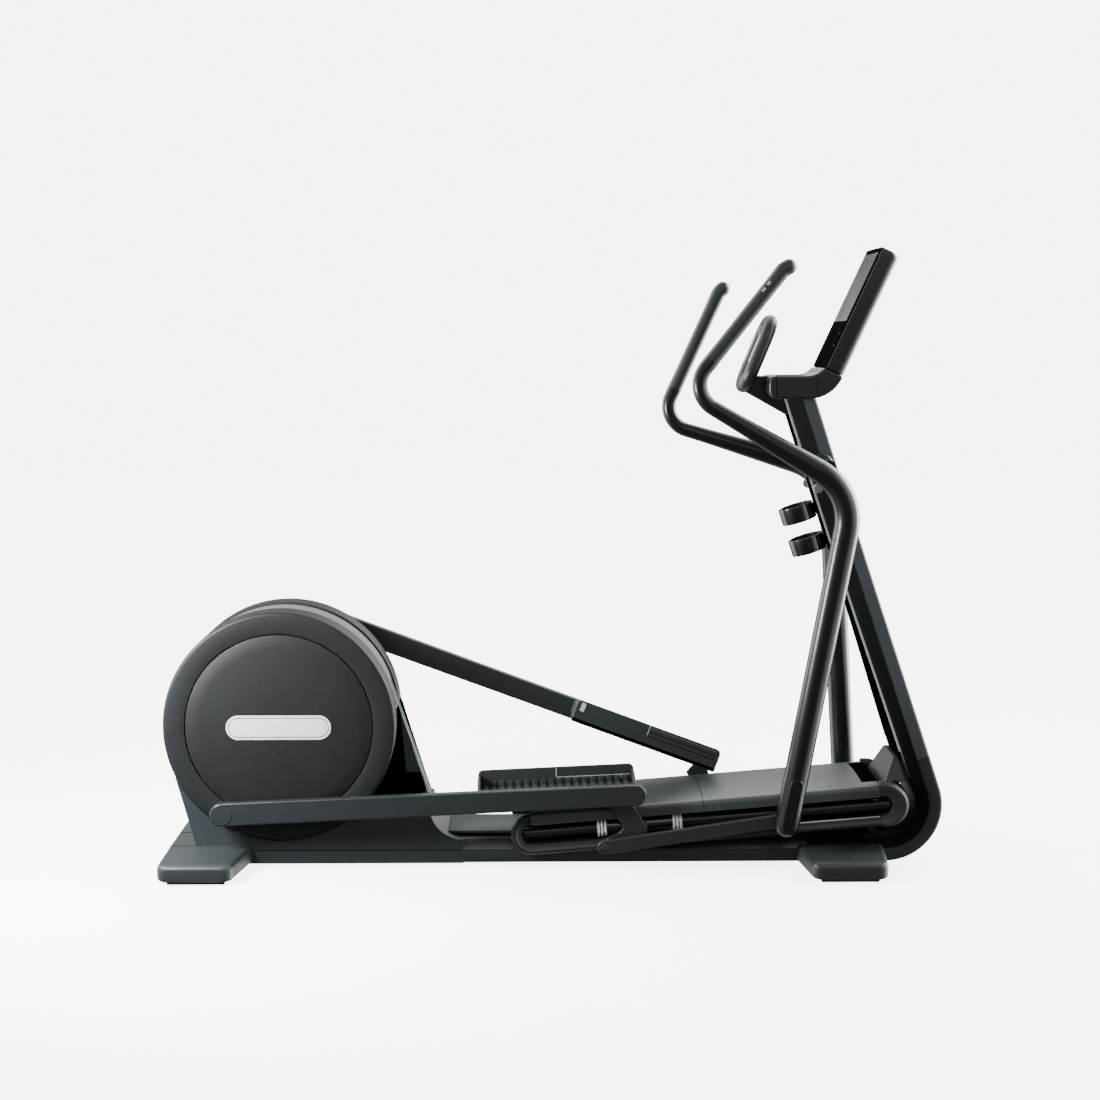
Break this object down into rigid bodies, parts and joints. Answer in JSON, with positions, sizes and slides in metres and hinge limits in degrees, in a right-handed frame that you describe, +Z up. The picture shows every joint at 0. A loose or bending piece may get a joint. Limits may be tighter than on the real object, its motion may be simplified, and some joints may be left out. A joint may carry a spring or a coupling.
{
  "type": "elliptical trainer",
  "caption": "Rear-drive elliptical trainer with large crank discs, sliding pedal links on an inclined ramp, swinging arms and a mast with a console.",
  "frame": {"origin": "centre of the bounding box in plan, on the floor", "axes": "+X towards the front of the machine, the way the user faces, +Y to the user's left, +Z up"},
  "size_m": [2.109, 0.62, 1.665],
  "materials": {
    "frame": "satin charcoal powder coat",
    "shell": "dark moulded plastic",
    "cover": "charcoal moulded plastic",
    "black": "black moulded plastic",
    "rubber": "black rubber",
    "tube": "gloss dark grey painted tube",
    "rod": "gloss black hard coat",
    "steel": "bright steel",
    "glass": "dark display window",
    "belt": "ribbed drive belt"
  },
  "bodies": {
    "frame": {"base_beam": "frame", "front_bend": "frame", "mast": "frame", "rear_pedestal": "frame", "ramp_cover_rear": "cover", "ramp_cover_front": "cover", "ramp_core": "black", "ramp_front_bracket": "cover", "console_tray": "shell", "display_housing": "shell", "display_glass": "glass", "handlebar_bracket": "black", "fixed_handlebar": "rubber", "bottle_ring_upper": "black", "bottle_ring_lower": "black", "arm_pivot_shaft": "steel", "drive_belt": "belt", "rear_foot_right": "cover", "front_foot_right": "cover", "rear_pad_right": "rubber", "front_pad_right": "rubber", "drum_housing_right": "cover", "bearing_plate_right": "frame", "crank_bearing_right": "steel", "rail_lower_right": "frame", "rail_end_right": "cover", "guide_rod_right": "rod", "rear_foot_left": "cover", "front_foot_left": "cover", "rear_pad_left": "rubber", "front_pad_left": "rubber", "drum_housing_left": "cover", "bearing_plate_left": "frame", "crank_bearing_left": "steel", "rail_lower_left": "frame", "rail_end_left": "cover", "guide_rod_left": "rod"},
    "crankset": {"crank_shaft": "steel", "drive_pulley": "black", "crank_disc_right": "shell", "crank_disc_left": "shell", "disc_cover_right": "shell", "disc_cover_left": "shell"},
    "flywheel": {"flywheel": "steel"},
    "carriage_right": {"carriage_right": "frame"},
    "pedal_right": {"link_bar_right": "frame", "footplate_right": "shell", "footplate_mat_right": "rubber"},
    "drag_right": {"drag_link_right": "frame"},
    "arm_right": {"arm_lower_right": "tube", "arm_upper_right": "tube", "arm_grip_right": "rubber"},
    "carriage_left": {"carriage_left": "frame"},
    "pedal_left": {"link_bar_left": "frame", "footplate_left": "shell", "footplate_mat_left": "rubber"},
    "drag_left": {"drag_link_left": "frame"},
    "arm_left": {"arm_lower_left": "tube", "arm_upper_left": "tube", "arm_grip_left": "rubber"}
  },
  "joints": [
    {"name": "crank_spin", "type": "hinge", "parent": "frame", "child": "crankset", "pos_m": [-0.7405, 0, 0.387], "axis": [0, 1, 0], "continuous": true},
    {"name": "flywheel_spin", "type": "hinge", "parent": "frame", "child": "flywheel", "pos_m": [-0.595, 0, 0.272], "axis": [0, 1, 0], "continuous": true},
    {"name": "stride_right", "type": "slide", "parent": "frame", "child": "carriage_right", "axis": [0.9968, 0, 0.0799], "range_m": [-0.122, 0.355]},
    {"name": "stride_left", "type": "slide", "parent": "frame", "child": "carriage_left", "axis": [0.9968, 0, 0.0799], "range_m": [-0.355, 0.122]},
    {"name": "pedal_pitch_right", "type": "hinge", "parent": "carriage_right", "child": "pedal_right", "pos_m": [0.217, -0.183, 0.2095], "axis": [0, 1, 0], "range_deg": [-2.6, 25.6]},
    {"name": "pedal_pitch_left", "type": "hinge", "parent": "carriage_left", "child": "pedal_left", "pos_m": [0.44896, 0.183, 0.22808], "axis": [0, 1, 0], "range_deg": [-25.6, 2.6]},
    {"name": "arm_swing_right", "type": "hinge", "parent": "frame", "child": "arm_right", "pos_m": [0.717, -0.161, 1.088], "axis": [0, -1, 0], "range_deg": [-8.4, 22]},
    {"name": "arm_swing_left", "type": "hinge", "parent": "frame", "child": "arm_left", "pos_m": [0.717, 0.161, 1.088], "axis": [0, -1, 0], "range_deg": [-22, 8.4]},
    {"name": "drag_pivot_right", "type": "hinge", "parent": "carriage_right", "child": "drag_right", "pos_m": [0.134, -0.183, 0.0664], "axis": [0, 1, 0], "range_deg": [-1, 2]},
    {"name": "drag_pivot_left", "type": "hinge", "parent": "carriage_left", "child": "drag_left", "pos_m": [0.36596, 0.183, 0.08498], "axis": [0, 1, 0], "range_deg": [-2, 1]}
  ],
  "couplings": [
    {"joint": "flywheel_spin", "follows": "crank_spin", "ratio": 6},
    {"joint": "stride_left", "follows": "stride_right", "ratio": -1},
    {"joint": "pedal_pitch_left", "follows": "pedal_pitch_right", "ratio": -1},
    {"joint": "arm_swing_right", "follows": "stride_right", "rad_per_m": 1.035},
    {"joint": "arm_swing_left", "follows": "stride_right", "rad_per_m": -1.035},
    {"joint": "drag_pivot_right", "follows": "stride_right", "rad_per_m": 0.087},
    {"joint": "drag_pivot_left", "follows": "stride_right", "rad_per_m": -0.087}
  ]
}
